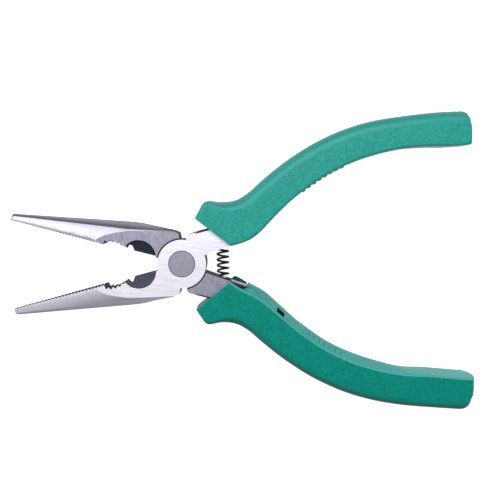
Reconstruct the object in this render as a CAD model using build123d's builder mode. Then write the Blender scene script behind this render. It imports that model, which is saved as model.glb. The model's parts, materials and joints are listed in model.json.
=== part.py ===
from build123d import *

import os
from math import cos, radians, sin

# Long-nose pliers with side cutters: two forged halves that lap and turn on one rivet,
# a coil spring between the tangs that pushes them open, and a moulded grip on each tang.
#
# Row frame: +X towards the handles, +Y towards the upper handle, +Z up.  The origin is
# on the pivot axis, on the underside of the lap joint.  The pliers are drawn sprung open.
#
# Each half is drawn in its own frame, in the closed position: x runs back along the tang,
# y = 0 is the parting face of its jaw, which lies on the -y side while the tang lies on
# the +y side, and z points out of the lap face that this half owns, from the middle.

# ------------------------------------------------------------ driving dimensions, mm, degrees
joint_thickness = 9.0       # lap joint, jaws and bare tangs, over both layers
rest_angle = 14.6           # how far each half is turned from closed when sprung open
boss_radius = 8.25          # round boss that each half has in its own layer
socket_radius = 8.4         # round cut that the other half's boss turns in
layer_gap = 0.02            # each boss stands this far back from the middle plane

jaw_length = 60.2           # pivot to tip
parting_gap = 0.04          # each jaw's parting face stands this far back from y = 0
tip_width = 2.35            # jaw at the tip, parting face to flank
root_width = 10.0           # jaw beside the cutter, parting face to flank
taper_end_x = -21.0         # where the straight taper of the flank gives way to the root
taper_end_width = 9.4
root_start_x = -15.0

serration_pitch = 1.2       # fine cross teeth along the nose
serration_depth = 0.32
serration_half_base = 0.48  # half the width of each groove at its mouth
serration_start_x = -58.9
serration_end_x = -28.4

pipe_grip_start_x = -27.3   # toothed hollow behind the nose, for round work
pipe_tooth_pitch = 1.6
pipe_tooth_count = 5
pipe_tooth_height = 0.85
pipe_first_root = 0.25      # from the start of the hollow to its first root
pipe_tooth_rise = 0.6       # share of the pitch from a root to the next tip
hollow_radius = 7.6
hollow_middle_x = -24.0
hollow_depth = 1.45
step_depth = 1.75           # flat floor between the hollow and the blade
step_start_run = 0.4        # slope from the last tooth down to the floor
step_end_run = 0.9          # slope from the floor up to the blade
blade_start_x = -17.1

pocket_radius = 5.9         # round relief on both faces that leaves the cutting edge
pocket_x = -14.7
pocket_y = 1.4
blade_land = 0.12           # half the thickness of the cutting edge
floor_slope = 0.78          # rise of the relief's floor for each mm away from the edge

rivet_shank_radius = 3.2
rivet_head_radius = 4.5
rivet_head_land = 0.3       # straight rim of the flush head
rivet_head_cone = 1.3       # depth of the countersink under it
running_clearance = 0.05    # radial, between the rivet and the half that turns on it

mouth_palm = (17.6, 1.7)    # ends of the grip's mouth line, which is also the end of the bare tang
mouth_back = (8.4, 13.8)
guard_tip = (13.1, 18.5)    # outer corner of the finger guard, before it is rounded
insert_thickness = 8.2      # the tang is thinner where the grip covers it
grip_thickness = 13.0
grip_outer_round = 3.6
grip_inner_round = 1.2
guard_corner_round = 2.6
end_corner_round = 4.0
notch_end_x = 24.4          # the palm wall is open to the tang from the mouth to here
notch_depth = 6.0
window_x = 37.6             # small window in the palm wall
window_length = 2.7
window_width = 4.2
window_depth = 13.0         # from the parting plane, through the palm wall to the tang

spring_seat_radius = 14.6   # distance of the spring's seats behind the pivot, closed
spring_seat_y = 1.33        # distance of each seat from y = 0, closed
spring_hole_radius = 2.6
spring_hole_depth = 3.1
spring_outer_radius = 2.1
spring_wire_radius = 0.33
spring_pitch = 1.85
spring_end_gap = 0.06       # between each end of the spring and its hole's floor


def half_frame(side):
    """Frame of a half at rest: side +1 owns the upper layer, side -1 the lower one."""
    turn = radians(rest_angle)
    return Plane(
        origin=(0, 0, joint_thickness / 2),
        x_dir=(cos(turn), side * sin(turn), 0),
        z_dir=(0, 0, side),
    )


def station(frame, x):
    """Plane across a half at x: its own x is the half's y, its own y is the half's z."""
    return Plane(
        origin=frame.from_local_coords((x, 0, 0)),
        x_dir=frame.y_dir,
        z_dir=frame.x_dir,
    )


def rivet_body(clearance):
    """The rivet, flush on both faces, or the hole for it when clearance is added."""
    head = rivet_head_radius + clearance
    shank = rivet_shank_radius + clearance
    cone_end = rivet_head_land + rivet_head_cone
    top = joint_thickness
    with BuildPart() as body:
        with BuildSketch(Plane.XZ):
            with BuildLine():
                Polyline(
                    (0, 0),
                    (head, 0),
                    (head, rivet_head_land),
                    (shank, cone_end),
                    (shank, top - cone_end),
                    (head, top - rivet_head_land),
                    (head, top),
                    (0, top),
                    close=True,
                )
            make_face()
        revolve(axis=Axis.Z)
    return body.part


def jaw_envelope(frame):
    """Tapering D-shaped bar: flat parting side, crowned faces, drafted flank.

    Each section is (x, crown height, crisp edge y, crisp edge height, flank y).
    """
    sections = [
        (-62.0, 1.1, -1.45, 0.8, -2.15),
        (-20.0, 5.6, -7.2, 4.28, -9.75),
        (0.0, 7.5, -11.4, 4.3, -11.9),
    ]
    with BuildPart() as envelope:
        for x, crown, edge_y, edge_height, flank_y in sections:
            with BuildSketch(station(frame, x)):
                with BuildLine():
                    TangentArc((0, crown), (edge_y, edge_height), tangent=(-1, 0))
                    Polyline((edge_y, edge_height), (flank_y, 0), (edge_y, -edge_height))
                    TangentArc((0, -crown), (edge_y, -edge_height), tangent=(-1, 0))
                    Line((0, -crown), (0, crown))
                make_face()
        loft(ruled=True)
    return envelope.part


def cutter_pocket(frame):
    """Round reliefs, one on each face, whose sloping floors meet at the cutting edge."""
    beyond = joint_thickness
    far_y = -9.0
    near_y = 1.0
    with BuildPart() as pocket:
        with BuildSketch(frame):
            with Locations((pocket_x, pocket_y)):
                Circle(pocket_radius)
        extrude(amount=beyond)
        with BuildSketch(station(frame, pocket_x)):
            with BuildLine():
                Polyline(
                    (near_y, blade_land - floor_slope * near_y),
                    (far_y, blade_land - floor_slope * far_y),
                    (far_y, beyond),
                    (near_y, beyond),
                    close=True,
                )
            make_face()
        extrude(amount=2 * pocket_radius, both=True, mode=Mode.INTERSECT)
        mirror(about=frame)
    return pocket.part


def jaw_teeth(frame):
    """Everything that is cut from the parting face: serrations, pipe grip and step."""

    def hollow(x, extra):
        """Depth of the pipe grip's arc at x, plus extra for a root."""
        return -(hollow_depth - (x - hollow_middle_x) ** 2 / (2 * hollow_radius) + extra)

    outline = [(pipe_grip_start_x, 1.0), (pipe_grip_start_x, -parting_gap)]
    for i in range(pipe_tooth_count):
        root_x = pipe_grip_start_x + pipe_first_root + pipe_tooth_pitch * i
        tip_x = root_x + pipe_tooth_pitch * pipe_tooth_rise
        outline.append((root_x, hollow(root_x, pipe_tooth_height)))
        outline.append((tip_x, hollow(tip_x, 0)))
    step_x = outline[-1][0] + step_start_run
    outline.append((step_x, -step_depth))
    outline.append((blade_start_x - step_end_run, -step_depth))
    outline.append((blade_start_x, -parting_gap))
    outline.append((blade_start_x, 1.0))

    count = int((serration_end_x - serration_start_x) / serration_pitch) + 1
    with BuildPart() as teeth:
        with BuildSketch(frame):
            with BuildLine():
                Polyline(*outline, close=True)
            make_face()
            for i in range(count):
                x = serration_start_x + serration_pitch * i
                with BuildLine():
                    Polyline(
                        (x - serration_half_base, 0),
                        (x, -parting_gap - serration_depth),
                        (x + serration_half_base, 0),
                        close=True,
                    )
                make_face()
        extrude(amount=joint_thickness, both=True)
    return teeth.part


def mouth_point(y):
    """Point on the mouth line of the grip at the height y."""
    share = (y - mouth_palm[1]) / (mouth_back[1] - mouth_palm[1])
    return mouth_palm[0] + share * (mouth_back[0] - mouth_palm[0]), y


def tang_insert(frame):
    """The part of the tang that the grip covers."""
    with BuildPart() as insert:
        with BuildSketch(frame):
            with BuildLine():
                outer = Spline(
                    (11.0, 9.2),
                    (22.0, 11.0),
                    (32.0, 15.2),
                    (46.0, 21.2),
                    (60.0, 24.6),
                    (74.0, 25.4),
                    tangents=((1, 0), (1, 0)),
                )
                step = Line((15.0, 1.7), (24.2, 2.5))
                inner = Spline(
                    step @ 1,
                    (29.0, 5.6),
                    (36.0, 10.6),
                    (46.0, 15.2),
                    (60.0, 19.4),
                    (74.0, 20.8),
                )
                TangentArc(outer @ 1, inner @ 1, tangent=(1, 0))
                Line(step @ 0, outer @ 0)
            make_face()
        extrude(amount=insert_thickness / 2, both=True)
    return insert.part


def spring_seat(end_gap):
    """Distance behind the pivot, and half length, of a spring end_gap clear of its seats."""
    turn = radians(rest_angle)
    seat_x = spring_seat_radius * cos(turn) - spring_seat_y * sin(turn)
    seat_y = spring_seat_radius * sin(turn) + spring_seat_y * cos(turn)
    return seat_x, seat_y + spring_hole_depth - end_gap


def spring_holes():
    """Cylinder along Y, from the floor of one blind hole to the floor of the other."""
    seat_x, half_length = spring_seat(0)
    plane = Plane(
        origin=(seat_x, -half_length, joint_thickness / 2),
        x_dir=(1, 0, 0),
        z_dir=(0, 1, 0),
    )
    with BuildPart() as holes:
        with BuildSketch(plane):
            Circle(spring_hole_radius)
        extrude(amount=2 * half_length)
    return holes.part


def forged_half(frame, rivet_clearance):
    """One forged half: jaw, boss in its own layer, socket in the other, and tang."""
    envelope = jaw_envelope(frame)
    pocket = cutter_pocket(frame)
    teeth = jaw_teeth(frame)
    insert = tang_insert(frame)
    blind_holes = spring_holes()
    rivet_hole = rivet_body(rivet_clearance)
    half_thickness = joint_thickness / 2
    with BuildPart() as half:
        with BuildSketch(frame):
            with BuildLine():
                flank = Line((-jaw_length, -tip_width), (taper_end_x, -taper_end_width))
                root = Spline(
                    flank @ 1,
                    (root_start_x, -root_width),
                    tangents=(flank % 1, (1, 0)),
                )
                Polyline(
                    root @ 1,
                    (-5.2, -root_width),
                    (-3.5, -9.7),
                    (-2.5, -7.6),
                    (0, -parting_gap),
                    (-jaw_length, -parting_gap),
                    flank @ 0,
                )
            make_face()
        extrude(amount=half_thickness, both=True)
        add(envelope, mode=Mode.INTERSECT)
        add(teeth, mode=Mode.SUBTRACT)
        add(pocket, mode=Mode.SUBTRACT)

        # bare tang, which ends square to the handle at the mouth of the grip
        with BuildSketch(frame):
            with BuildLine():
                front = Polyline((3.0, 6.2), (3.54, 7.35), (4.0, 8.35))
                shoulder = Spline(
                    front @ 1,
                    (5.6, 9.0),
                    (9.0, 9.1),
                    mouth_point(9.0),
                    tangents=((0.4, 1), (1, -0.06)),
                )
                Polyline(shoulder @ 1, mouth_point(1.7), (9.6, 1.0), (6.5, 0.7), front @ 0)
            make_face()
        extrude(amount=half_thickness, both=True)
        add(insert)

        # socket for the other half's boss, then this half's own boss
        with BuildSketch(frame.offset(layer_gap)):
            Circle(socket_radius)
        extrude(amount=-joint_thickness, mode=Mode.SUBTRACT)
        with BuildSketch(frame.offset(layer_gap)):
            Circle(boss_radius)
        extrude(amount=half_thickness - layer_gap)

        add(rivet_hole, mode=Mode.SUBTRACT)
        add(blind_holes, mode=Mode.SUBTRACT)
    return half.part


def long_rims(grip, frame):
    """The long curved edges of a grip's flat faces, palm side first, back last."""
    tolerance = 0.01
    edges = grip.edges().filter_by(GeomType.BSPLINE)
    flat = edges.filter_by(
        lambda edge: abs(frame.to_local_coords(edge @ 0.5).Z) > grip_thickness / 2 - tolerance
    )
    return flat.sort_by(lambda edge: frame.to_local_coords(edge @ 0.5).Y)


def palm_view(frame, x):
    """Plane at x that looks from the parting plane into the palm side of a grip."""
    return Plane(
        origin=frame.from_local_coords((x, 0, 0)),
        x_dir=frame.x_dir,
        z_dir=frame.y_dir,
    )


def moulded_grip(frame):
    """Soft sleeve over a tang: finger guard in front, long curved handle behind."""
    insert = tang_insert(frame)
    with BuildPart() as grip:
        with BuildSketch(frame) as plan:
            with BuildLine():
                mouth = Line(mouth_palm, mouth_back)
                lead = Line(mouth @ 1, guard_tip)
                back = Spline(
                    lead @ 1,
                    (18.0, 16.5),
                    (23.0, 15.85),
                    (27.7, 17.15),
                    (32.6, 19.65),
                    (41.5, 23.7),
                    (53.1, 27.5),
                    (64.3, 29.5),
                    (74.0, 29.9),
                    (84.0, 29.0),
                    (95.7, 27.1),
                    (107.9, 24.6),
                )
                end = Line(back @ 1, (105.0, 13.9))
                palm = Spline(
                    end @ 1,
                    (96.0, 15.3),
                    (86.0, 17.3),
                    (76.0, 18.5),
                    (66.0, 18.3),
                    (56.0, 16.5),
                    (46.0, 13.2),
                    (36.5, 8.9),
                    (30.0, 5.3),
                    (24.2, 2.4),
                    mouth @ 0,
                )
            make_face()
            fillet(plan.vertices().sort_by(Axis.Y)[-2], radius=guard_corner_round)
            fillet(plan.vertices().sort_by(Axis.Y)[-1], radius=end_corner_round)
        extrude(amount=grip_thickness / 2, both=True)
        fillet(long_rims(grip, frame)[-2:], radius=grip_outer_round)
        fillet(long_rims(grip, frame)[:2], radius=grip_inner_round)
        add(insert, mode=Mode.SUBTRACT)

        # the palm wall stops short of the mouth, and has a small window further back
        with BuildSketch(palm_view(frame, notch_end_x / 2)):
            Rectangle(notch_end_x, insert_thickness)
        extrude(amount=notch_depth, mode=Mode.SUBTRACT)
        with BuildSketch(palm_view(frame, window_x)):
            Rectangle(window_length, window_width)
        extrude(amount=window_depth, mode=Mode.SUBTRACT)
    return grip.part


# ------------------------------------------------------------ the pieces
front_frame = half_frame(+1)
rear_frame = half_frame(-1)

front_jaw_half = forged_half(front_frame, running_clearance)
rear_jaw_half = forged_half(rear_frame, 0)
pivot_rivet = rivet_body(0)
upper_grip = moulded_grip(front_frame)
lower_grip = moulded_grip(rear_frame)

coil_radius = spring_outer_radius - spring_wire_radius
seat_x, half_length = spring_seat(spring_end_gap + spring_wire_radius)
with BuildPart() as return_spring:
    with BuildLine() as coil:
        Helix(
            pitch=spring_pitch,
            height=2 * half_length,
            radius=coil_radius,
            center=(seat_x, -half_length, joint_thickness / 2),
            direction=(0, 1, 0),
        )
    with BuildSketch(Plane(coil.line @ 0, z_dir=coil.line % 0)):
        Circle(spring_wire_radius)
    sweep()

# ------------------------------------------------------------ one STEP file for each piece
pieces = {
    "front_jaw_half": front_jaw_half,
    "rear_jaw_half": rear_jaw_half,
    "pivot_rivet": pivot_rivet,
    "return_spring": return_spring.part,
    "upper_grip": upper_grip,
    "lower_grip": lower_grip,
}
os.makedirs("parts", exist_ok=True)
for name, piece in pieces.items():
    piece.label = name
    export_step(piece, "parts/" + name + ".step")
    print(name, round(piece.volume), piece.is_valid)
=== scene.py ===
import json
import math

import bmesh
import bpy
import numpy as np
from mathutils import Matrix, Vector


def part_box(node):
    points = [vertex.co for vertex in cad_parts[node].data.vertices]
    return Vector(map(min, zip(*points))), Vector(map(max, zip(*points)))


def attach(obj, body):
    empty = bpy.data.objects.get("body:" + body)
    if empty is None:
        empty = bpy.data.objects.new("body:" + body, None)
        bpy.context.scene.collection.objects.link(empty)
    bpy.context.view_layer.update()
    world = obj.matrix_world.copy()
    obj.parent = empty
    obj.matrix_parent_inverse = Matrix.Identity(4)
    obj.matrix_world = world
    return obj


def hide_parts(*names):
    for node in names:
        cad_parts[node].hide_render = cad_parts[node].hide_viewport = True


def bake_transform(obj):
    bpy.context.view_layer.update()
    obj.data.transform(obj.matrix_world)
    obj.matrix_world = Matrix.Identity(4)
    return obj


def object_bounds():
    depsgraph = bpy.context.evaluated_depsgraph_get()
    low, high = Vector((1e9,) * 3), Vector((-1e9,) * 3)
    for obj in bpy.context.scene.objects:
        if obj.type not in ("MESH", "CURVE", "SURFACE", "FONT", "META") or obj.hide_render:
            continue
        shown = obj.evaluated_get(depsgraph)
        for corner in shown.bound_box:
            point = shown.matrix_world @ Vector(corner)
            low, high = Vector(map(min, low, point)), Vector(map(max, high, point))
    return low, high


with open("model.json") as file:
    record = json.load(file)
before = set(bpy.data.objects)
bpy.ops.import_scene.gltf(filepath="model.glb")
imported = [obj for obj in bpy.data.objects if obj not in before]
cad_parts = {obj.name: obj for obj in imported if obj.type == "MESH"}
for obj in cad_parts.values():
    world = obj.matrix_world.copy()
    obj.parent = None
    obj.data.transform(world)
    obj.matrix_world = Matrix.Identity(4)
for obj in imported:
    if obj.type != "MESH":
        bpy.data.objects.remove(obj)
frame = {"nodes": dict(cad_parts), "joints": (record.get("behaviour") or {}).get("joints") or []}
cad_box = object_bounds()

# Lengths in the geometry below are written in millimetres and turned into metres by MM.
MM = 0.001
joint = frame["joints"][0]
pivot = Vector(joint["pos_m"])
mid_z = pivot.z
joint_top = 2 * mid_z
# The joint closes by both halves' rest angles together.
rest_angle = math.radians(-joint["range_deg"][0] / 2)


# ---------------------------------------------------------------- camera, floor and light
def make_camera():
    """Camera above the tool, leaning a little towards the upper handle."""
    target = Vector((0.0231, 0.00453, joint_top))
    distance = 0.250
    lean = math.radians(4.8)
    roll = math.radians(-0.565)
    data = bpy.data.cameras.new("camera")
    data.sensor_width = 36.0
    data.lens = 53.4
    data.clip_start = 0.01
    data.clip_end = 10.0
    camera = bpy.data.objects.new("camera", data)
    bpy.context.scene.collection.objects.link(camera)
    back = Vector((0.0, math.sin(lean), math.cos(lean)))
    side = Vector((1.0, 0.0, 0.0))
    up = back.cross(side)
    turn = Matrix.Rotation(roll, 3, back)
    side, up = turn @ side, turn @ up
    camera.matrix_world = Matrix.Translation(target + back * distance) @ Matrix((
        (side.x, up.x, back.x),
        (side.y, up.y, back.y),
        (side.z, up.z, back.z),
    )).to_4x4()
    bpy.context.scene.camera = camera


def make_floor():
    """Plain white floor under the pliers."""
    mesh = bpy.data.meshes.new("floor")
    size = 1.5
    gap = 0.0002
    corners = [(-size, -size, 0), (size, -size, 0), (size, size, 0), (-size, size, 0)]
    mesh.from_pydata(corners, [], [(0, 1, 2, 3)])
    floor = bpy.data.objects.new("floor", mesh)
    floor.location = (0.02, 0.0, cad_box[0].z - gap)
    bpy.context.scene.collection.objects.link(floor)
    material = bpy.data.materials.new("floor")
    material.use_nodes = True
    shader = material.node_tree.nodes["Principled BSDF"]
    shader.inputs["Base Color"].default_value = (0.6, 0.6, 0.6, 1)
    shader.inputs["Roughness"].default_value = 0.9
    shader.inputs["Specular IOR Level"].default_value = 0.0
    shader.inputs["Emission Color"].default_value = (1, 1, 1, 1)
    shader.inputs["Emission Strength"].default_value = 0.85
    mesh.materials.append(material)


def make_area_light(name, place, aim, size, power):
    """Rectangular softbox at a place, turned to face a point."""
    data = bpy.data.lights.new(name, "AREA")
    data.shape = "RECTANGLE"
    data.size, data.size_y = size
    data.energy = power
    lamp = bpy.data.objects.new(name, data)
    lamp.location = place
    direction = Vector(aim) - Vector(place)
    lamp.rotation_mode = "QUATERNION"
    lamp.rotation_quaternion = direction.to_track_quat("-Z", "Y")
    bpy.context.scene.collection.objects.link(lamp)


def make_world():
    """Even studio light from all round, and a plain display of colours."""
    world = bpy.data.worlds.new("studio")
    world.use_nodes = True
    background = world.node_tree.nodes["Background"]
    background.inputs["Color"].default_value = (0.97, 0.97, 1, 1)
    background.inputs["Strength"].default_value = 0.56
    bpy.context.scene.world = world
    bpy.context.scene.view_settings.view_transform = "Standard"
    bpy.context.scene.view_settings.look = "None"


# ---------------------------------------------------------------- node helpers
class Tree:
    """Short ways of adding nodes to one material."""

    def __init__(self, name):
        self.material = bpy.data.materials.new(name)
        self.material.use_nodes = True
        self.nodes = self.material.node_tree.nodes
        self.links = self.material.node_tree.links
        self.shader = self.nodes["Principled BSDF"]

    def node(self, kind, **settings):
        """New node with some of its settings."""
        made = self.nodes.new(kind)
        for key, value in settings.items():
            setattr(made, key, value)
        return made

    def plug(self, value, socket):
        """Links an output socket, or sets a plain value."""
        if isinstance(value, bpy.types.NodeSocket):
            self.links.new(value, socket)
        else:
            socket.default_value = value

    def maths(self, operation, first, second=0.0):
        """Result of a maths node on sockets or plain numbers."""
        made = self.node("ShaderNodeMath", operation=operation)
        self.plug(first, made.inputs[0])
        self.plug(second, made.inputs[1])
        return made.outputs[0]

    def ramp(self, value, start, end, to_start=0.0, to_end=1.0):
        """Maps value smoothly from start..end to to_start..to_end, clamped."""
        made = self.node("ShaderNodeMapRange", interpolation_type="SMOOTHSTEP")
        self.plug(value, made.inputs["Value"])
        limits = {"From Min": start, "From Max": end, "To Min": to_start, "To Max": to_end}
        for key, number in limits.items():
            made.inputs[key].default_value = number
        return made.outputs["Result"]

    def zone(self, length, edges):
        """0 to 1 as a length in metres passes from one edge to the other, given in millimetres."""
        return self.ramp(length, edges[0] * MM, edges[1] * MM)

    def within(self, length, middle, reach):
        """1 where a length is no further than reach from middle, both in millimetres."""
        away = self.maths("ABSOLUTE", self.maths("SUBTRACT", length, middle * MM))
        return self.zone(away, (reach + 0.08, reach + 0.02))

    def both(self, first, second):
        """Mask where both masks are."""
        return self.maths("MULTIPLY", first, second)

    def either(self, first, second):
        """Mask where either mask is."""
        return self.maths("MAXIMUM", first, second)

    def distance(self, place, centre=(0.0, 0.0)):
        """Distance along XY from a point that is given in millimetres."""
        x = self.maths("SUBTRACT", place["X"], centre[0] * MM)
        y = self.maths("SUBTRACT", place["Y"], centre[1] * MM)
        return self.maths("SQRT", self.maths("ADD", self.both(x, x), self.both(y, y)))

    def mix(self, factor, first, second, kind="RGBA"):
        """Blends from the first colour to the second, or between numbers where kind is FLOAT."""
        made = self.node("ShaderNodeMix", data_type=kind)
        self.plug(factor, made.inputs["Factor"])
        self.plug(first, made.inputs["A"])
        self.plug(second, made.inputs["B"])
        return made.outputs["Result"]

    def mix_value(self, factor, first, second):
        """Blends two numbers."""
        return self.mix(factor, first, second, "FLOAT")

    def mapping(self, vector, location=(0, 0, 0), rotation=(0, 0, 0), scale=(1, 1, 1)):
        """Scales, then turns, then moves a vector."""
        made = self.node("ShaderNodeMapping")
        self.plug(vector, made.inputs["Vector"])
        made.inputs["Location"].default_value = location
        made.inputs["Rotation"].default_value = rotation
        made.inputs["Scale"].default_value = scale
        return made.outputs[0]

    def noise(self, vector, scale, detail=2.0, roughness=0.5):
        """Noise from 0 to 1, with a scale in cells per unit of the vector."""
        made = self.node("ShaderNodeTexNoise")
        self.plug(vector, made.inputs["Vector"])
        made.inputs["Scale"].default_value = scale
        made.inputs["Detail"].default_value = detail
        made.inputs["Roughness"].default_value = roughness
        return made.outputs["Fac"]

    def streaks(self, vector, angle, length, width, detail=2.0):
        """Noise drawn out along angle in the XY plane: marks about length by width millimetres."""
        turned = self.mapping(vector, rotation=(0, 0, -angle))
        drawn = self.mapping(turned, scale=(1 / (length * MM), 1 / (width * MM), 1 / (width * MM)))
        return self.noise(drawn, 1.0, detail)

    def bump(self, height, strength, distance, normal=None):
        """Normal for a height between 0 and 1, which stands for a distance in millimetres."""
        made = self.node("ShaderNodeBump")
        made.inputs["Strength"].default_value = strength
        made.inputs["Distance"].default_value = distance * MM
        self.plug(height, made.inputs["Height"])
        if normal is not None:
            self.plug(normal, made.inputs["Normal"])
        return made.outputs[0]


def rgb(*values):
    """Opaque colour."""
    return (*values, 1.0)


def half_coordinates(tree, side):
    """Object coordinates, the same in the frame of a half, those split by axis, and the normal."""
    coords = tree.node("ShaderNodeTexCoord")
    half = tree.mapping(
        coords.outputs["Object"],
        location=(0, 0, -side * mid_z),
        rotation=(0, 0, -rest_angle),
        scale=(1, side, side),
    )
    place = tree.node("ShaderNodeSeparateXYZ")
    tree.plug(half, place.inputs[0])
    facing = tree.node("ShaderNodeSeparateXYZ")
    tree.plug(coords.outputs["Normal"], facing.inputs[0])
    return coords.outputs["Object"], half, place.outputs, facing.outputs


def add_rounded_edges(obj, width):
    """Small rounds on the sharp edges of an object, made by modifiers."""
    weld = obj.modifiers.new("weld", "WELD")
    weld.merge_threshold = 0.002 * MM
    bevel = obj.modifiers.new("rounded_edges", "BEVEL")
    bevel.width = width * MM
    bevel.segments = 2
    bevel.limit_method = "ANGLE"
    bevel.angle_limit = math.radians(28)
    bevel.harden_normals = True


# ---------------------------------------------------------------- forged steel halves
# Kinds of surface, told apart by |z| of the normal: where each fades in, and where it is whole.
face_upright = (0.990, 0.998)
crown_upright = (0.74, 0.80)
wall_upright = (0.34, 0.22)
relief_upright = (0.99, 0.95)
# Places in the frame of a half, where the closed parting plane is y = 0 and z is measured from
# the mid plane: again from fading in to whole.
pocket_centre = (-14.7, 1.4)
pocket_edge = (5.95, 5.85)
socket_edge = (8.95, 8.60)
socket_layer = (0.0, -1.0)
shoulder_y = (8.45, 8.75)
shoulder_x = (6.5, 8.0)
shoulder_end_x = (17.0, 16.0)
bare_tang_x = (17.3, 17.9)
bare_tang_y = (5.0, 4.5)
# bare_tang_z: where the tang's wall in the notch turns from painted shade to painted light.
bare_tang_z = (-1.6, -0.6)
# The flank's upper edge rises from the tip to the joint: slope, height at x = 0 and greatest height.
flank_edge_slope = 0.0829
flank_edge_height = 5.94
flank_edge_limit = 4.3

# Painted shadow: dark lines where shade falls at the step round the socket and under the guard's shoulder.
painted_joint_shadow = rgb(0.02, 0.02, 0.025)
# Steep walls: painted shade, near-black with a faint mottle, for the shade that falls on them.
wall_shade_dark = rgb(0.004, 0.004, 0.006)
wall_shade_light = rgb(0.030, 0.028, 0.034)
# Tang in the notch: its face takes a painted shadow, and its wall turns from painted shade to painted
# light.
tang_face_shadow = rgb(0.030, 0.018, 0.024)
tang_wall_shade = rgb(0.050, 0.034, 0.046)
tang_wall_painted_light = rgb(0.50, 0.47, 0.60)
relief_dark = rgb(0.010, 0.012, 0.020)


def steel_masks(tree, place, upright):
    """Masks of a half's faces, crowned flank, steep walls, cutter relief, painted shadow lines at the
    socket and shoulder, and bare tang.
    """
    x, y, z = place["X"], place["Y"], place["Z"]
    relief = tree.zone(tree.distance(place, pocket_centre), pocket_edge)
    # socket and shoulder: where the painted shadow lines go
    socket = tree.both(tree.zone(tree.distance(place), socket_edge), tree.zone(z, socket_layer))
    shoulder = tree.both(tree.zone(y, shoulder_y), tree.zone(x, shoulder_x))
    return {
        "face": tree.ramp(upright, *face_upright),
        "crown": tree.ramp(upright, *crown_upright),
        "wall": tree.ramp(upright, *wall_upright),
        "pocket": tree.both(relief, tree.ramp(upright, *relief_upright)),
        "line": tree.either(socket, tree.both(shoulder, tree.zone(x, shoulder_end_x))),
        "tang": tree.both(tree.zone(x, bare_tang_x), tree.zone(y, bare_tang_y)),
    }


def face_colour(tree, half, brushed, look):
    """Brushed face with a few patches and fine specks."""
    patches = tree.noise(half, 260.0, 3.0)
    speck = tree.noise(half, 2400.0, 3.0, 0.65)
    face = tree.mix(tree.ramp(brushed, 0.32, 0.68), look["face_dark"], look["face_light"])
    face = tree.mix(tree.ramp(speck, 0.50, 0.72, 0.0, look["speck"]), face, look["face_dark"])
    return tree.mix(tree.ramp(patches, 0.45, 0.75, 0.0, look["patch"]), face, look["face_dark"])


def crown_colour(tree, place, cross, look):
    """Crowned side of the nose, with painted light and shade: it changes tone away from the parting plane,
    lighter near it and darker further out.
    """
    inner = tree.ramp(tree.maths("ABSOLUTE", place["Y"]), 0.4 * MM, look["crown_reach"])
    crown = tree.mix(inner, look["crown_inner_lit"], look["crown_outer_shaded"])
    return tree.mix(tree.ramp(cross, 0.35, 0.7, 0.0, look["crown_streak"]), crown, look["crown_dark"])


def flank_colour(tree, place, along, look):
    """Outer flank, with painted reflection: its tone changes from its upper edge to the mid plane."""
    edge = tree.maths("ADD", tree.maths("MULTIPLY", place["X"], flank_edge_slope), flank_edge_height * MM)
    edge = tree.maths("MINIMUM", edge, flank_edge_limit * MM)
    height_share = tree.maths("DIVIDE", tree.maths("ABSOLUTE", place["Z"]), edge)
    flank = tree.mix(tree.ramp(height_share, 0.95, 0.25), look["flank_top_reflection"], look["flank_side_reflection"])
    return tree.mix(tree.ramp(along, 0.35, 0.7, 0.0, 0.3), flank, look["flank_top_reflection"])


def steel_material(name, side, look):
    """Ground and brushed surfaces of a forged half, told apart by where they face: steep walls painted
    near-black as shade, flank and crown tones painted as light and reflection, painted shadow and light on
    the tang in the notch, and a dark relief pocket with lighter arcs.
    """
    tree = Tree(name)
    _, half, place, facing = half_coordinates(tree, side)
    masks = steel_masks(tree, place, tree.maths("ABSOLUTE", facing["Z"]))

    # marks of grinding: along the brushing, across the nose, along the flank and round the relief
    brushed = tree.streaks(half, look["face_angle"], look["mark_length"], look["mark_width"], 4.0)
    cross = tree.streaks(half, math.pi / 2, 5.0, 0.22, 3.0)
    along = tree.streaks(half, 0.15, 12.0, 0.3, 3.0)
    arcs = tree.streaks(half, math.pi / 2 + 0.2, 4.0, 0.2, 3.0)
    mottle = tree.noise(half, 1500.0, 4.0, 0.6)

    # in the notch: painted shadow on the tang's face, painted shade and light on its wall
    face = tree.mix(masks["tang"], face_colour(tree, half, brushed, look), tang_face_shadow)
    tang_wall_light_and_shade = tree.mix(tree.zone(place["Z"], bare_tang_z), tang_wall_shade, tang_wall_painted_light)
    # steep walls take their painted shade
    wall = tree.mix(masks["tang"], tree.mix(mottle, wall_shade_dark, wall_shade_light), tang_wall_light_and_shade)
    pocket = tree.mix(tree.ramp(arcs, 0.3, 0.7), relief_dark, look["pocket_light"])
    colour = tree.mix(
        masks["crown"], flank_colour(tree, place, along, look), crown_colour(tree, place, cross, look)
    )
    for kind, shade in (("face", face), ("line", painted_joint_shadow), ("wall", wall), ("pocket", pocket)):
        colour = tree.mix(masks[kind], colour, shade)
    tree.plug(colour, tree.shader.inputs["Base Color"])

    is_dark = tree.either(
        tree.either(masks["wall"], masks["pocket"]), tree.either(masks["line"], masks["tang"])
    )
    rough = tree.mix_value(masks["face"], 0.42, tree.ramp(brushed, 0.3, 0.7, 0.36, 0.48))
    tree.plug(tree.mix_value(is_dark, rough, 0.60), tree.shader.inputs["Roughness"])
    tree.plug(tree.maths("SUBTRACT", 1.0, is_dark), tree.shader.inputs["Metallic"])
    tree.shader.inputs["Specular IOR Level"].default_value = 0.06

    height = tree.mix_value(masks["crown"], along, cross)
    height = tree.mix_value(masks["face"], height, brushed)
    height = tree.mix_value(masks["wall"], height, mottle)
    tree.plug(tree.bump(height, 0.30, 0.015), tree.shader.inputs["Normal"])
    return tree.material
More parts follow.
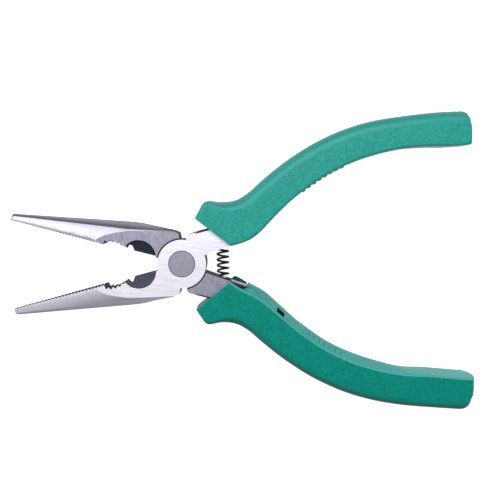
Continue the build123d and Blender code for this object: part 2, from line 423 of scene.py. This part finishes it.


# The front half is brushed along the tool, the rear half aslant in shorter marks; the rear half's colours
# are painted darker, standing in for its dimmer reflection.
front_look = {
    "face_angle": -rest_angle,
    "mark_length": 7.0,
    "mark_width": 0.14,
    "face_light": rgb(0.99, 0.98, 1.0),
    "face_dark": rgb(0.85, 0.84, 0.96),
    "speck": 0.25,
    "patch": 0.15,
    "crown_reach": 7.5 * MM,
    # painted light and shade over the crown
    "crown_inner_lit": rgb(0.92, 0.89, 1.0),
    "crown_outer_shaded": rgb(0.40, 0.385, 0.47),
    "crown_dark": rgb(0.50, 0.49, 0.57),
    "crown_streak": 0.35,
    # painted reflection on the flank
    "flank_top_reflection": rgb(0.17, 0.165, 0.205),
    "flank_side_reflection": rgb(0.13, 0.125, 0.16),
    "pocket_light": rgb(0.13, 0.135, 0.19),
}
rear_dim_reflection_look = {
    "face_angle": 0.9,
    "mark_length": 1.4,
    "mark_width": 0.22,
    "face_light": rgb(0.43, 0.42, 0.54),
    "face_dark": rgb(0.31, 0.305, 0.375),
    "speck": 0.45,
    "patch": 0.25,
    "crown_reach": 4.5 * MM,
    # painted light and shade over the crown
    "crown_inner_lit": rgb(0.60, 0.59, 0.68),
    "crown_outer_shaded": rgb(0.30, 0.295, 0.34),
    "crown_dark": rgb(0.20, 0.195, 0.24),
    "crown_streak": 0.5,
    # painted reflection on the flank
    "flank_top_reflection": rgb(0.060, 0.058, 0.080),
    "flank_side_reflection": rgb(0.22, 0.21, 0.26),
    "pocket_light": rgb(0.06, 0.07, 0.10),
}

# Where the painted shade line at the rim of a rivet head fades in, by radius.
rivet_rim_shade = (4.15, 4.42)


def rivet_material():
    """Satin rivet heads with a fine speckle, and a painted shade line round each rim."""
    tree = Tree("rivet_satin")
    coords = tree.node("ShaderNodeTexCoord")
    flat = tree.mapping(coords.outputs["Object"], scale=(1, 1, 0))
    ring = tree.node("ShaderNodeVectorMath", operation="LENGTH")
    tree.plug(flat, ring.inputs[0])
    rim = tree.zone(ring.outputs["Value"], rivet_rim_shade)
    speckle = tree.noise(coords.outputs["Object"], 4200.0, 3.0, 0.65)
    cloud = tree.noise(coords.outputs["Object"], 600.0, 2.0)
    satin = tree.mix(tree.ramp(speckle, 0.3, 0.7), rgb(0.26, 0.255, 0.31), rgb(0.42, 0.41, 0.49))
    satin = tree.mix(tree.ramp(cloud, 0.4, 0.7, 0.0, 0.3), satin, rgb(0.28, 0.275, 0.33))
    # painted shade round the rim of each head
    tree.plug(tree.mix(rim, satin, rgb(0.06, 0.055, 0.07)), tree.shader.inputs["Base Color"])
    tree.shader.inputs["Metallic"].default_value = 1.0
    tree.plug(tree.ramp(speckle, 0.2, 0.8, 0.42, 0.58), tree.shader.inputs["Roughness"])
    tree.plug(tree.bump(speckle, 0.35, 0.015), tree.shader.inputs["Normal"])
    return tree.material


def finish_steel():
    """Puts the steel materials on the CAD nodes and rounds their edges."""
    looks = {
        "front_jaw_half": (steel_material("front_ground_steel", 1, front_look), 0.10),
        "rear_jaw_half": (steel_material("rear_ground_steel_painted_dim", -1, rear_dim_reflection_look), 0.10),
        "pivot_rivet": (rivet_material(), 0.06),
    }
    for name, (material, width) in looks.items():
        node = frame["nodes"][name]
        node.data.materials.clear()
        node.data.materials.append(material)
        add_rounded_edges(node, width)


# ---------------------------------------------------------------- return spring
def spring_material():
    """Black oil-tempered wire with a few rubbed marks."""
    tree = Tree("spring_wire")
    coords = tree.node("ShaderNodeTexCoord")
    scale = tree.noise(coords.outputs["Object"], 3000.0, 3.0)
    rubbed = tree.noise(coords.outputs["Object"], 500.0, 2.0)
    colour = tree.mix(scale, rgb(0.006, 0.006, 0.007), rgb(0.02, 0.02, 0.022))
    colour = tree.mix(tree.ramp(rubbed, 0.62, 0.75, 0.0, 0.6), colour, rgb(0.10, 0.10, 0.11))
    tree.plug(colour, tree.shader.inputs["Base Color"])
    tree.shader.inputs["Metallic"].default_value = 0.2
    tree.shader.inputs["Specular IOR Level"].default_value = 0.2
    tree.plug(tree.ramp(scale, 0.3, 0.7, 0.35, 0.55), tree.shader.inputs["Roughness"])
    tree.plug(tree.bump(scale, 0.3, 0.02), tree.shader.inputs["Normal"])
    return tree.material


def make_spring():
    """Coil spring with a closed turn at each end."""
    box_low, box_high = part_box("return_spring")
    centre = (box_low + box_high) / 2
    # the coil is drawn a little wider than the CAD solid, with a thicker wire
    extra_radius = 0.15 * MM
    wire = 0.37 * MM
    outer = (box_high.x - box_low.x) / 2 + extra_radius
    coil = outer - wire
    half_length = (box_high.y - box_low.y) / 2 - wire
    turns = 9
    end_turns = 0.9
    ring_steps = 40
    wire_steps = 10
    count = turns * ring_steps
    closed_pitch = 2.1 * wire  # of the end turns, which nearly touch
    travel = 2 * half_length
    open_pitch = (travel - 2 * end_turns * closed_pitch) / (turns - 2 * end_turns)

    def advance(turn):
        """Distance along the axis after this many turns."""
        near = min(turn, end_turns)
        middle = min(max(turn - end_turns, 0), turns - 2 * end_turns)
        last = max(turn - (turns - end_turns), 0)
        return (near + last) * closed_pitch + middle * open_pitch

    # weights follow the angle about the pivot
    verts, weights = [], []
    theta_end = math.atan2(half_length, centre.x)
    for i in range(count + 1):
        turn = i / ring_steps
        angle = 2 * math.pi * turn + math.pi
        y = -half_length + advance(turn)
        around = Vector((math.cos(angle), 0, math.sin(angle)))
        axis_point = Vector((centre.x, centre.y + y, centre.z))
        for k in range(wire_steps):
            phi = 2 * math.pi * k / wire_steps
            offset = around * (coil + wire * math.cos(phi)) + Vector((0, wire * math.sin(phi), 0))
            verts.append(axis_point + offset)
        weights += [0.5 + 0.5 * math.atan2(y, centre.x) / theta_end] * wire_steps
    faces = []
    for i in range(count):
        for k in range(wire_steps):
            n = (k + 1) % wire_steps
            a, b = i * wire_steps, (i + 1) * wire_steps
            faces.append((a + k, a + n, b + n, b + k))
    faces.append(tuple(range(wire_steps)))
    faces.append(tuple(range(count * wire_steps + wire_steps - 1, count * wire_steps - 1, -1)))
    mesh = bpy.data.meshes.new("coil_spring")
    mesh.from_pydata(verts, [], faces)
    mesh.update()
    smooth = [len(face) == 4 for face in faces]
    mesh.polygons.foreach_set("use_smooth", smooth)
    fix_normals(mesh)
    spring = bpy.data.objects.new("coil_spring", mesh)
    bpy.context.scene.collection.objects.link(spring)
    mesh.materials.append(spring_material())
    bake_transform(spring)
    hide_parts("return_spring")


def fix_normals(mesh):
    """Turns every face outwards."""
    work = bmesh.new()
    work.from_mesh(mesh)
    bmesh.ops.recalc_face_normals(work, faces=work.faces)
    work.to_mesh(mesh)
    work.free()


# ---------------------------------------------------------------- moulded grips
# Outlines in the frame of a half: x runs back along the tang from the pivot, y = 0 is the
# plane on which the two halves meet when closed, and z is measured from the mid plane.
grip_half = 6.5
mouth_back = (8.4, 13.8)
guard_tip = (13.1, 18.5)
guard_round = 2.6
guard_rim = 1.3
back_rim = 3.6
ridge_rim = 0.7
end_rim = 0.8
# Each grip's end stands out most at the parting line, and stays back by end_cut at the faces.
# That comes in over end_stretch before the end, and fades within end_ease of the back corner.
# end_fill: sizes of the sections that close the end.
end_cut = 0.65
end_stretch = 5.0
end_ease = 4.0
end_fill = (0.8, 0.6, 0.4, 0.2, 0.05)
back_points = [
    guard_tip, (18.0, 16.5), (23.0, 15.85), (27.7, 17.15), (32.6, 19.65), (41.5, 23.7),
    (53.1, 27.5), (64.3, 29.5), (74.0, 29.9), (84.0, 29.1), (95.7, 27.2),
]
palm_points = [
    (42.4, 11.7), (48.4, 14.1), (54.0, 16.0), (59.6, 17.35), (65.0, 18.15), (70.4, 18.5),
    (75.8, 18.5), (81.0, 18.1), (86.0, 17.3), (91.0, 16.2),
]
# Back and palm points that share one cross section, by x of each.
partners = [
    (23.0, 28.0), (32.6, 37.5), (41.5, 45.3), (53.1, 55.5), (64.3, 65.6), (74.0, 74.0), (84.0, 82.8),
    (95.7, 93.3),
]
# How far the parting line stands out in front of the palm's ridge, by x.
palm_bulge = [
    (17, 3.7), (20, 4.1), (22.2, 3.9), (22.8, 2.5), (26, 2.5), (30, 2.4), (36, 2.05), (48, 1.9),
    (54, 1.75), (65, 1.8), (75, 1.5), (82, 0.85), (87, 0.3), (92, 0.0), (106, 0.1),
]
# Runs of palm that are paired with the lead edge, and with the last stretch of the back.
mouth_palm_run = 2.2
end_palm_run = 1.8
end_back_run = 5.0
# The rim of the back grows over rim_run, from rim_lead before the guard's tip.
rim_lead = 1.5
rim_run = 8.0
# Low bars across the palm wall: first one, pitch, count, length along, height and slope of the sides.
rib_start = 45.6
rib_pitch = 2.05
rib_count = 8
rib_length = 1.15
rib_height = 0.34
rib_edge = 0.14
# The middle band of the wall that the bars cover, as shares of its height, and how far it is raised.
rib_band = (0.0, 0.20, 0.26, 0.74, 0.80, 1.0)
rib_band_rise = (0, 0, 1, 1, 0, 0)
# Shares of the wall's height at which a section has its points.  The parting line is softened: it
# is taken back by soft_share of the bulge, which fades out in the first 1 / soft_parts of the height.
wall_shares = (0.0, 0.07, 0.14, 0.20, 0.26, 0.42, 0.58, 0.74, 0.80, 0.9, 1.0)
soft_share = 0.1
soft_parts = 5

tang_thickness = 8.2
cavity_play = 0.06
# Sides of the cavity that holds the tang: towards the back, and towards the palm.
cavity_outer = [
    (8.0, 9.2), (12.0, 9.22), (22.0, 11.0), (32.0, 15.2), (46.0, 21.2), (60.0, 24.6), (74.0, 25.4),
]
cavity_inner = [
    (12.0, 1.5), (15.0, 1.7), (24.2, 2.5), (29.0, 5.6), (36.0, 10.6), (46.0, 15.2), (60.0, 19.4),
    (74.0, 20.8),
]
# The notch in the palm wall runs from before the mouth to a slanted end over the tang.
notch_start_x = 10.0
notch_end_x = 23.2
notch_slant = 1.7
notch_y = (-4.0, 3.0, 4.5)
# By x, where z is below 0: the wall starts to stand out, and then loses its roundness.
lip_change = (notch_end_x - 0.9, notch_end_x - 0.3)
wall_change = (24.5, 30.0)
# Window in the palm wall: its middle in x and z, its size, and how deep it goes.
window_middle = (36.5, -4.0)
window_size = (2.7, 2.7)
window_depth = 12.5

# side: +1 for the front half, -1 for the rear one, whose z points down.
# bulge: share of palm_bulge.  lap_ribs: share of the ribs' height where z is above 0.
# front_palm and rear_palm: the palm before and after palm_points.  end_back and end_round: corner
# of the back and the end, and its radius.  end_bulge: how far the end stands out at the parting line.
# back_shift: change of the back's y, by x.
upper_shape = {
    "side": 1,
    "bulge": 0.16,
    "lap_ribs": 1.0,
    "front_palm": [(17.6, 1.7), (21.0, 1.8), (24.4, 2.1), (28.3, 3.7), (32.3, 6.1), (36.5, 8.6)],
    "rear_palm": [(96.0, 14.9), (103.6, 13.3)],
    "end_back": (106.4, 24.6),
    "end_round": 2.9,
    "end_bulge": 0.5,
    "back_shift": [
        (12, 0.25), (24, 0.1), (40, 0.0), (60, -0.1), (74, -0.35), (84, -0.6), (96, -0.5), (107, -0.3),
    ],
}
lower_shape = {
    "side": -1,
    "bulge": 1.0,
    "lap_ribs": 0.0,
    "front_palm": [(17.4, 1.9), (21.0, 3.05), (24.6, 3.9), (28.4, 4.9), (32.2, 6.6), (36.5, 8.7)],
    "rear_palm": [(96.0, 15.4), (105.1, 13.9)],
    "end_back": (108.1, 24.9),
    "end_round": 3.3,
    "end_bulge": 1.9,
    "back_shift": [(12, -0.35), (24, -0.2), (40, -0.2), (60, 0.0), (74, 0.1), (84, 0.2), (107, 0.25)],
}


def smooth_curve(points, spacing):
    """Points spacing apart along the centripetal Catmull-Rom curve through the given points."""
    pts = [np.array(p, float) for p in points]
    pts = [2 * pts[0] - pts[1]] + pts + [2 * pts[-1] - pts[-2]]
    span_steps = 24
    fine = []
    for p0, p1, p2, p3 in zip(pts, pts[1:], pts[2:], pts[3:]):
        t1 = np.linalg.norm(p1 - p0) ** 0.5
        t2 = t1 + np.linalg.norm(p2 - p1) ** 0.5
        t3 = t2 + np.linalg.norm(p3 - p2) ** 0.5
        for t in np.linspace(t1, t2, span_steps, endpoint=False):
            a1 = (t1 - t) / t1 * p0 + t / t1 * p1
            a2 = (t2 - t) / (t2 - t1) * p1 + (t - t1) / (t2 - t1) * p2
            a3 = (t3 - t) / (t3 - t2) * p2 + (t - t2) / (t3 - t2) * p3
            b1 = (t2 - t) / t2 * a1 + t / t2 * a2
            b2 = (t3 - t) / (t3 - t1) * a2 + (t - t1) / (t3 - t1) * a3
            fine.append((t2 - t) / (t2 - t1) * b1 + (t - t1) / (t2 - t1) * b2)
    fine.append(pts[-2])
    return resample(fine, spacing)


def lengths_along(points):
    """Length of the line up to each of its points."""
    steps = np.linalg.norm(np.diff(np.array(points), axis=0), axis=1)
    return np.concatenate([[0.0], np.cumsum(steps)])


def resample(points, spacing):
    """Evenly spaced points along a line, about spacing apart."""
    points = np.array(points)
    along = lengths_along(points)
    count = max(2, round(along[-1] / spacing) + 1)
    wanted = np.linspace(0, along[-1], count)
    return np.stack([np.interp(wanted, along, points[:, k]) for k in range(2)], axis=1)


def rounded_corner(before, corner, after, radius, steps=10):
    """Arc of this radius that replaces a corner between two nearly straight stretches."""
    before, corner, after = (np.array(p, float) for p in (before, corner, after))
    back = (before - corner) / np.linalg.norm(before - corner)
    ahead = (after - corner) / np.linalg.norm(after - corner)
    half_angle = math.acos(np.clip(back @ ahead, -1, 1)) / 2
    reach = radius / math.tan(half_angle)
    middle = corner + (back + ahead) / np.linalg.norm(back + ahead) * radius / math.sin(half_angle)
    start, end = corner + back * reach, corner + ahead * reach
    first = math.atan2(*(start - middle)[::-1])
    turn = math.atan2(*(end - middle)[::-1]) - first
    turn = (turn + math.pi) % (2 * math.pi) - math.pi
    angles = [first + turn * i / steps for i in range(steps + 1)]
    return [middle + radius * np.array((math.cos(angle), math.sin(angle))) for angle in angles], reach


def back_outline(shape):
    """Lead edge, guard, back and rounded end corner, in one line of points."""
    shift_x, shift_y = zip(*shape["back_shift"])
    points = [(x, y + np.interp(x, shift_x, shift_y)) for x, y in back_points + [shape["end_back"]]]
    spline = smooth_curve(points, spacing=0.5)
    past_tip, before_end = spline[4], spline[-8]
    tip, end_back = np.array(points[0]), np.array(points[-1])
    guard_arc, guard_reach = rounded_corner(mouth_back, tip, past_tip, guard_round)
    inside_end = end_back + (np.array(shape["rear_palm"][-1]) - end_back) * 0.5
    end_arc, end_reach = rounded_corner(before_end, end_back, inside_end, shape["end_round"])
    along = lengths_along(spline)
    gap = 0.2
    first, last = guard_reach + gap, along[-1] - end_reach - gap
    middle = [p for p, s in zip(spline, along) if first < s < last]
    return resample([np.array(mouth_back)] + guard_arc + middle + end_arc, spacing=0.75)


def half_section(width, bulge, rim, fullness, raised):
    """Upper half of a cross section, as (w, z) from the parting line over the ridge to the back.

    fullness 0 gives a palm wall with plain draft, 1 a rounded one.  raised lifts the middle
    band of the wall, for the grip ribs.
    """
    rise = grip_half - ridge_rim

    def palm(share):
        out = bulge * ((1 - share) * (1 - fullness) + (1 - share * share) * fullness)
        soft = soft_share * bulge * max(0.0, 1 - soft_parts * share) ** 2
        lift = raised * np.interp(share, rib_band, rib_band_rise)
        return np.array((soft - out - lift, share * rise))

    points = [palm(share) for share in wall_shares]
    start, corner, end = points[-1], np.array((0.0, grip_half)), np.array((ridge_rim, grip_half))
    ridge_steps, face_steps, back_steps = 4, 9, 3
    for i in range(1, ridge_steps + 1):
        t = i / ridge_steps
        points.append((1 - t) ** 2 * start + 2 * t * (1 - t) * corner + t * t * end)
    for i in range(1, face_steps + 1):
        points.append(np.array((ridge_rim + (width - rim - ridge_rim) * i / face_steps, grip_half)))
    for i in range(1, face_steps + 1):
        angle = math.pi / 2 * i / face_steps
        w, z = width - rim * (1 - math.sin(angle)), grip_half - rim * (1 - math.cos(angle))
        points.append(np.array((w, z)))
    for i in range(1, back_steps + 1):
        points.append(np.array((width, (grip_half - rim) * (1 - i / back_steps))))
    return points


def section(width, bulge, rim, raised, lap_ribs, off_share, off_fullness):
    """Closed outline (w, z) of one cross section.

    Where z is above 0 it is rounded, with the whole bulge and lap_ribs of the ribs' height.  Where z
    is below 0 it has off_share of the bulge and its own fullness.
    """
    full = half_section(width, bulge, rim, 1.0, raised * lap_ribs)
    drafted = half_section(width, bulge * off_share, rim, off_fullness, raised)
    return full + [np.array((w, -z)) for w, z in drafted[-2:0:-1]]


def to_row(x, y, z, side):
    """Point of a half's own frame, in millimetres, to the row frame at rest, in metres."""
    turned_x = x * math.cos(rest_angle) - y * math.sin(rest_angle)
    turned_y = x * math.sin(rest_angle) + y * math.cos(rest_angle)
    return Vector((turned_x * MM, side * turned_y * MM, mid_z + side * z * MM))


def loft_rings(name, rings, side):
    """Closed mesh through rings of (x, y, z) points, with a face over each end."""
    size = len(rings[0])
    verts = [to_row(*p, side) for ring in rings for p in ring]
    faces = []
    for i in range(len(rings) - 1):
        for k in range(size):
            n = (k + 1) % size
            faces.append((i * size + k, i * size + n, (i + 1) * size + n, (i + 1) * size + k))
    faces.append(tuple(range(size)))
    faces.append(tuple(range((len(rings) - 1) * size, len(rings) * size)))
    mesh = bpy.data.meshes.new(name)
    mesh.from_pydata(verts, [], faces)
    mesh.update()
    fix_normals(mesh)
    obj = bpy.data.objects.new(name, mesh)
    bpy.context.scene.collection.objects.link(obj)
    return obj


def rib_profile():
    """Places along the palm's x at which the ribs rise and fall, and the height at each."""
    places, heights = [], []
    for i in range(rib_count):
        x = rib_start + rib_pitch * i
        places += [x, x + rib_edge, x + rib_length - rib_edge, x + rib_length]
        heights += [0.0, rib_height, rib_height, 0.0]
    return places, heights


def grip_rings(shape):
    """Cross sections of a grip, from the mouth to the closed end."""
    back = back_outline(shape)
    palm = smooth_curve(shape["front_palm"] + palm_points + shape["rear_palm"], spacing=0.25)
    palm_along, back_along = lengths_along(palm), lengths_along(back)
    bulge_x, bulge_size = zip(*palm_bulge)

    def along_at(points, along, x):
        """Length along a line of points where it first passes x."""
        first = int(np.argmax(points[:, 0] >= x))
        return np.interp(x, points[first - 1:first + 1, 0], along[first - 1:first + 1])

    guard_length = math.dist(mouth_back, guard_tip)
    pairs = [(0.0, 0.0), (guard_length, mouth_palm_run)]
    pairs += [(along_at(back, back_along, bx), along_at(palm, palm_along, px)) for bx, px in partners]
    back_end, palm_end = back_along[-1], palm_along[-1]
    pairs += [(back_end - end_back_run, palm_end - end_palm_run), (back_end, palm_end)]
    pair_back, pair_palm = zip(*pairs)

    outward = np.array((math.cos(rest_angle), -math.sin(rest_angle), 0.0))

    def stand_out(ring, amount, lift=0.0):
        """Moves points outwards by the end's own bulge at their height, fading at the back corner."""
        bulged = shape["end_bulge"] * (1 - (ring[:, 2] / grip_half) ** 2) - end_cut
        share = np.clip(np.linalg.norm(ring[:, :2] - back[-1], axis=1) / end_ease, 0, 1)
        return ring + np.outer((bulged * amount + lift) * share * (2 - share), outward)

    rib_places, rib_heights = rib_profile()
    rib_stations = [np.interp(along_at(palm, palm_along, x), pair_palm, pair_back) for x in rib_places]
    margin = 0.08
    stations = list(rib_stations)
    stations += [s for s in back_along if min(abs(s - rib) for rib in rib_stations) > margin]

    rings = []
    for s in sorted(stations):
        q = np.array([np.interp(s, back_along, back[:, k]) for k in range(2)])
        t = np.interp(s, pair_back, pair_palm)
        p = np.array([np.interp(t, palm_along, palm[:, k]) for k in range(2)])
        width = np.linalg.norm(q - p)
        across = (q - p) / width
        ease = np.clip((s - guard_length + rim_lead) / rim_run, 0, 1)
        rim = guard_rim + (back_rim - guard_rim) * ease * ease * (3 - 2 * ease)
        bulge = shape["bulge"] * np.interp(p[0], bulge_x, bulge_size)
        raised = np.interp(s, rib_stations, rib_heights, left=0.0, right=0.0)
        off_share = np.interp(p[0], lip_change, (0.0, 1.0))
        off_fullness = np.interp(p[0], wall_change, (1.0, 0.0))
        outline = section(width, bulge, rim, raised, shape["lap_ribs"], off_share, off_fullness)
        near_end = np.clip((s - back_end) / end_stretch + 1, 0, 1) ** 2
        ring = np.array([(*(p + across * w), z) for w, z in outline])
        rings.append(stand_out(ring, near_end))

    # the end is rounded over and closed by smaller and smaller sections
    last = ring
    centre = (last.min(0) + last.max(0)) / 2
    reach = np.abs(last - centre).max(0)
    round_steps = 4
    for i in range(1, round_steps + 1):
        angle = math.pi / 2 * i / round_steps
        inset = end_rim * (1 - math.cos(angle))
        scale = np.array([1 - inset / reach[1], 1 - inset / reach[1], 1 - inset / reach[2]])
        ring = centre + (last - centre) * scale
        rings.append(stand_out(ring, 1.0, end_rim * math.sin(angle)))
    rings += [stand_out(centre + (ring - centre) * size, 1.0, end_rim) for size in end_fill]
    return rings


def prism(name, outline, z_low, z_high, side):
    """Closed prism over an outline of (x, y) points, in the frame of a half."""
    rings = [[(x, y, z) for x, y in outline] for z in (z_low, z_high)]
    return loft_rings(name, rings, side)


def cut_out(target, tool):
    """Cuts tool out of target, and removes the tool."""
    modifier = target.modifiers.new("cut", "BOOLEAN")
    modifier.operation = "DIFFERENCE"
    modifier.object = tool
    modifier.solver = "EXACT"
    bpy.context.view_layer.update()
    ready = target.evaluated_get(bpy.context.evaluated_depsgraph_get())
    mesh = bpy.data.meshes.new_from_object(ready)
    target.modifiers.clear()
    target.data = mesh
    bpy.data.objects.remove(tool)


def make_grip(name, node, body, shape, material):
    """Vinyl sleeve with its guard, palm ridge, open mouth, window and low ribs."""
    side = shape["side"]
    grip = loft_rings(name, grip_rings(shape), side)

    outer, inner = (smooth_curve(points, spacing=2.0) for points in (cavity_outer, cavity_inner))
    outline = list(outer) + list(inner)[::-1]
    half = tang_thickness / 2 + cavity_play
    outside, rim, inside = notch_y
    notch = [
        (notch_start_x, outside), (notch_end_x + notch_slant, outside), (notch_end_x, rim),
        (notch_end_x, inside), (notch_start_x, inside),
    ]
    cut_out(grip, prism("notch", notch, -half, half, side))
    cut_out(grip, prism("cavity", outline, -half, half, side))
    x, z = window_middle
    half_x, half_z = window_size[0] / 2, window_size[1] / 2
    window = [(x - half_x, 0.0), (x + half_x, 0.0), (x + half_x, window_depth), (x - half_x, window_depth)]
    cut_out(grip, prism("window", window, z - half_z, z + half_z, side))

    mesh = grip.data
    mesh.name = name
    mesh.polygons.foreach_set("use_smooth", [True] * len(mesh.polygons))
    mesh.set_sharp_from_angle(angle=math.radians(32))
    mesh.materials.clear()
    mesh.materials.append(material)
    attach(grip, body)
    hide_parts(node)


# Painted shade in the recesses: dark green inside the notch, near-black in the window.
notch_vinyl_shade = rgb(0.004, 0.075, 0.065)
window_vinyl_shade = rgb(0.0, 0.012, 0.009)


def grip_material(name, side, look):
    """Soft vinyl with a fine moulded grain; the palm wall, its ridge and the back differ a little in
    colour, which is painted light and shade by where they face.
    """
    tree = Tree(name)
    where, _, place, facing = half_coordinates(tree, side)
    upright = tree.maths("ABSOLUTE", facing["Z"])
    outward = tree.maths("MULTIPLY", facing["Y"], side)
    x, z = window_middle
    in_window = tree.both(
        tree.within(place["X"], x, window_size[0] / 2), tree.within(place["Z"], z, window_size[1] / 2)
    )
    in_window = tree.both(in_window, tree.zone(place["Y"], (window_depth + 0.5, window_depth)))
    in_notch = tree.both(
        tree.zone(place["X"], (notch_end_x + 0.3, notch_end_x + 0.2)),
        tree.within(place["Z"], 0.0, tang_thickness / 2 + cavity_play),
    )
    grain = tree.noise(where, 1500.0, 3.0, 0.65)
    fine = tree.noise(where, 5000.0, 2.0)
    cloud = tree.noise(where, 150.0, 3.0)
    flat = tree.mix(tree.ramp(grain, 0.35, 0.65), look["dark"], look["light"])
    flat = tree.mix(tree.ramp(cloud, 0.40, 0.70, 0.0, 0.25), flat, look["light"])
    # painted shade and light by facing: the back side darker, and the palm wall and its ridge lighter on
    # the lower grip and darker on the upper
    back = tree.ramp(outward, 0.25, 0.80)
    palm = tree.ramp(outward, -0.30, -0.55)
    ridge = tree.both(tree.ramp(outward, -0.12, -0.30), tree.ramp(upright, 0.45, 0.65))
    colour = tree.mix(back, flat, look["back"])
    colour = tree.mix(palm, colour, look["palm"])
    colour = tree.mix(ridge, colour, look["ridge"])
    colour = tree.mix(in_notch, colour, notch_vinyl_shade)
    colour = tree.mix(in_window, colour, window_vinyl_shade)
    tree.plug(colour, tree.shader.inputs["Base Color"])
    tree.plug(tree.ramp(grain, 0.3, 0.7, 0.38, 0.52), tree.shader.inputs["Roughness"])
    tree.shader.inputs["IOR"].default_value = 1.48
    tree.shader.inputs["Specular IOR Level"].default_value = look["gloss"]
    rough = tree.bump(fine, 0.15, 0.03)
    tree.plug(tree.bump(grain, 0.35, 0.06, rough), tree.shader.inputs["Normal"])
    return tree.material


# The grips are copies of one vinyl: the upper painted lighter and the lower darker for how the light falls
# on them. back is painted shade, and palm and ridge are painted light and shade.
upper_vinyl_lit_look = {
    "light": rgb(0.012, 0.325, 0.270),
    "dark": rgb(0.002, 0.235, 0.190),
    "back": rgb(0.004, 0.185, 0.155),
    "palm": rgb(0.000, 0.080, 0.065),
    "ridge": rgb(0.000, 0.200, 0.165),
    "gloss": 0.35,
}
lower_vinyl_shaded_look = {
    "light": rgb(0.000, 0.250, 0.195),
    "dark": rgb(0.000, 0.180, 0.135),
    "back": rgb(0.000, 0.060, 0.043),
    "palm": rgb(0.028, 0.255, 0.230),
    "ridge": rgb(0.060, 0.370, 0.330),
    "gloss": 0.12,
}


make_camera()
make_floor()
make_world()
make_area_light(
    "softbox_top", place=(-0.05, 0.28, 0.50), aim=(0.02, 0, 0), size=(0.5, 0.22), power=2.5
)

finish_steel()
make_spring()
upper_vinyl = grip_material("vinyl_upper_lit", 1, upper_vinyl_lit_look)
lower_vinyl = grip_material("vinyl_lower_shaded", -1, lower_vinyl_shaded_look)
make_grip("vinyl_grip_upper", "upper_grip", "front_half", upper_shape, upper_vinyl)
make_grip("vinyl_grip_lower", "lower_grip", "rear_half", lower_shape, lower_vinyl)
